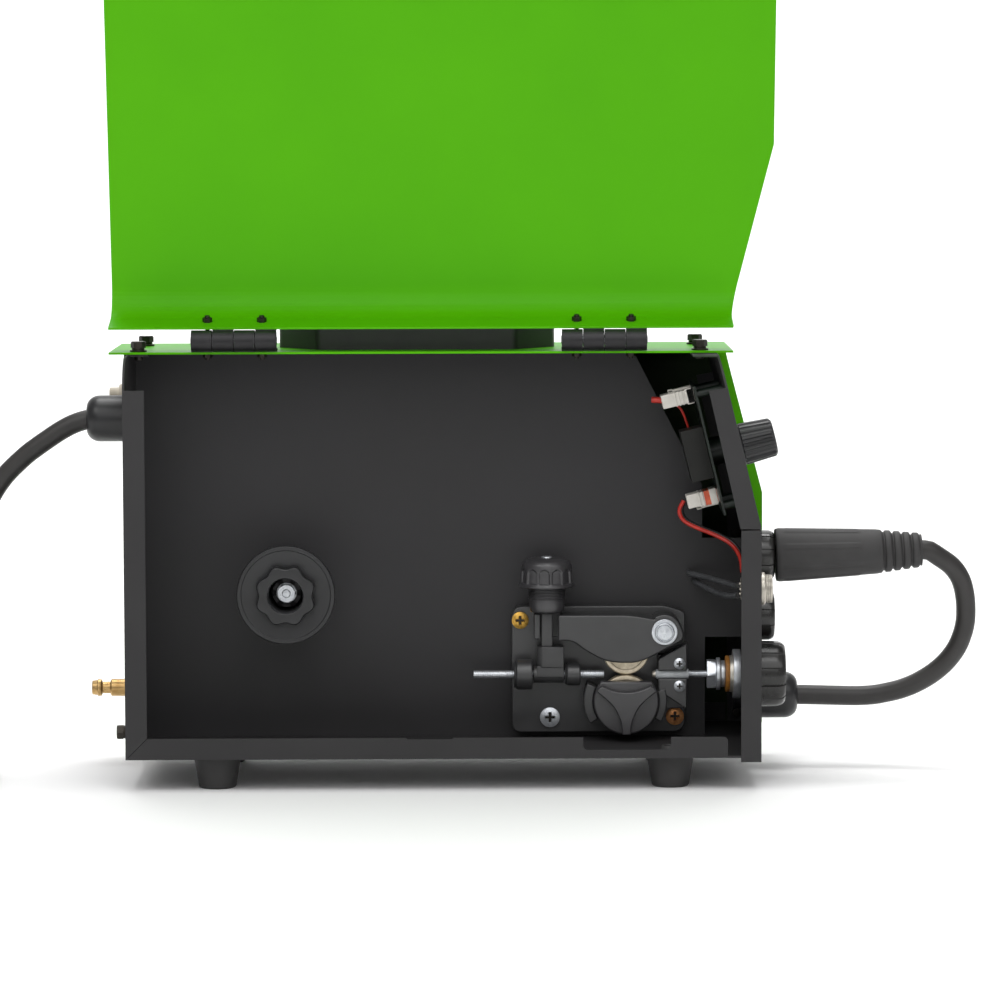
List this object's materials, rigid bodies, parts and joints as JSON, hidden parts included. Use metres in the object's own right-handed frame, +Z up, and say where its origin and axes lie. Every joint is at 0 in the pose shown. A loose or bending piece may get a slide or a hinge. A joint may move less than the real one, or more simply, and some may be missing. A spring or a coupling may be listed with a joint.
{
  "type": "wire feeder",
  "caption": "Compact welding wire feeder in a steel case: open side door, spool hub, roller drive with pressure arm, front sockets, carrying handle, coiled power cord.",
  "frame": {"origin": "on the floor, in the middle of the four feet and of their bolt holes", "axes": "+X out of the front panel with the sockets, +Y away from the open wire bay, +Z up"},
  "size_m": [0.8978, 0.2935, 0.6015],
  "materials": {
    "frame_paint": "charcoal powder coat, fine texture",
    "partition_paint": "charcoal paint, satin",
    "cover_paint": "green powder coat, fine texture",
    "hinge_paint": "black paint, satin",
    "pin_steel": "turned steel",
    "case_plastic": "black moulded plastic",
    "hub_plastic": "dark grey moulded plastic",
    "foot_rubber": "black rubber",
    "cable_rubber": "black cable sheath",
    "tie_plastic": "black strap",
    "feeder_plastic": "glass-filled nylon, fine grain",
    "screw_zinc": "zinc plated",
    "motor_paint": "dark grey paint",
    "roller_steel": "ground steel",
    "spring_steel": "spring wire",
    "tube_steel": "drawn tube",
    "connector_brass": "turned brass",
    "nut_steel": "nickel plated",
    "board_green": "circuit board",
    "connector_nylon": "white nylon",
    "wire_insulation": "wire insulation",
    "breaker_body": "beige moulded plastic"
  },
  "bodies": {
    "chassis": {"base_tray": "frame_paint", "rear_panel": "frame_paint", "front_panel_lower": "frame_paint", "control_panel": "frame_paint", "partition_wall": "partition_paint", "fixed_cover": "cover_paint", "hinge_fixed_leaves": "hinge_paint", "hinge_pins": "pin_steel", "hinge_body_screws": "hinge_paint", "top_handle": "case_plastic", "rubber_feet": "foot_rubber", "case_bolts": "hinge_paint", "feeder_plate": "feeder_plastic", "feeder_screws": "screw_zinc", "feed_motor": "motor_paint", "arm_pivot_pin": "pin_steel", "wire_guides": "feeder_plastic", "inlet_tube": "tube_steel", "outlet_tube": "tube_steel", "torch_connector": "nut_steel", "torch_nuts": "nut_steel", "torch_shroud": "case_plastic", "hub_base": "case_plastic", "brake_spring": "spring_steel", "hub_bolt": "pin_steel", "control_board": "board_green", "board_connectors": "connector_nylon", "panel_wires": "wire_insulation", "remote_socket": "nut_steel", "cable_sockets": "case_plastic", "gas_nipple": "connector_brass", "reset_breaker": "breaker_body", "cable_glands": "case_plastic", "fan_frame": "case_plastic", "inverter_unit": "board_green", "power_cord": "cable_rubber", "power_cord_coil": "cable_rubber", "cord_tie": "tie_plastic", "power_plug": "case_plastic", "jumper_cable": "cable_rubber", "jumper_plug": "case_plastic"},
    "door": {"side_door": "cover_paint", "hinge_door_leaves": "hinge_paint", "hinge_door_screws": "hinge_paint", "latch_housing": "case_plastic"},
    "latch": {"latch_slider": "case_plastic"},
    "knob": {"control_knob": "case_plastic"},
    "button": {"reset_button": "breaker_body"},
    "hub": {"spool_hub": "case_plastic"},
    "cap": {"spool_cap": "hub_plastic"},
    "drive": {"drive_shaft": "pin_steel", "drive_roller": "roller_steel"},
    "roller_cover": {"roller_cap": "feeder_plastic"},
    "arm": {"pressure_arm": "feeder_plastic", "roller_axle": "pin_steel"},
    "idler": {"pressure_roller": "roller_steel"},
    "tensioner": {"tension_rod": "feeder_plastic", "tension_spring": "spring_steel"},
    "tension_dial": {"tension_knob": "case_plastic"},
    "fan": {"fan_rotor": "case_plastic"}
  },
  "joints": [
    {"name": "door_hinge", "type": "hinge", "parent": "chassis", "child": "door", "pos_m": [0, -0.048, 0.311], "axis": [1, 0, 0], "range_deg": [0, 167]},
    {"name": "latch_slide", "type": "slide", "parent": "door", "child": "latch", "axis": [0, 0.225, -0.9744], "range_m": [0, 0.008], "stiffness_N_per_m": 200, "springref_m": -0.003},
    {"name": "knob_turn", "type": "hinge", "parent": "chassis", "child": "knob", "pos_m": [0.20776, 0, 0.233], "axis": [0.9724, 0, 0.2334], "range_deg": [-150, 150]},
    {"name": "button_press", "type": "slide", "parent": "chassis", "child": "button", "axis": [1, 0, 0], "range_m": [0, 0.0035], "stiffness_N_per_m": 400},
    {"name": "spool_spin", "type": "hinge", "parent": "chassis", "child": "hub", "pos_m": [-0.1103, 0, 0.1328], "axis": [0, 1, 0], "continuous": true},
    {"name": "spool_cap_slide", "type": "slide", "parent": "hub", "child": "cap", "axis": [0, 1, 0], "range_m": [-0.08, 0]},
    {"name": "drive_spin", "type": "hinge", "parent": "chassis", "child": "drive", "pos_m": [0.1286, 0, 0.0532], "axis": [0, -1, 0], "continuous": true},
    {"name": "roller_cover_turn", "type": "hinge", "parent": "chassis", "child": "roller_cover", "pos_m": [0.1286, 0, 0.0532], "axis": [0, -1, 0], "range_deg": [0, 45]},
    {"name": "arm_lift", "type": "hinge", "parent": "chassis", "child": "arm", "pos_m": [0.1556, 0, 0.1031], "axis": [0, 1, 0], "range_deg": [0, 0.3]},
    {"name": "idler_spin", "type": "hinge", "parent": "arm", "child": "idler", "pos_m": [0.1286, 0, 0.0886], "axis": [0, -1, 0], "continuous": true},
    {"name": "tension_swing", "type": "hinge", "parent": "chassis", "child": "tensioner", "pos_m": [0, -0.012, 0.0719], "axis": [-1, 0, 0], "range_deg": [-85, 0]},
    {"name": "tension_knob_turn", "type": "hinge", "parent": "tensioner", "child": "tension_dial", "pos_m": [0.0728, -0.012, 0.13], "axis": [0, 0, 1], "range_deg": [-720, 720]},
    {"name": "fan_spin", "type": "hinge", "parent": "chassis", "child": "fan", "pos_m": [-0.2, 0.05275, 0.16], "axis": [1, 0, 0], "continuous": true}
  ],
  "couplings": [
    {"joint": "idler_spin", "follows": "drive_spin", "ratio": -1.1212}
  ]
}
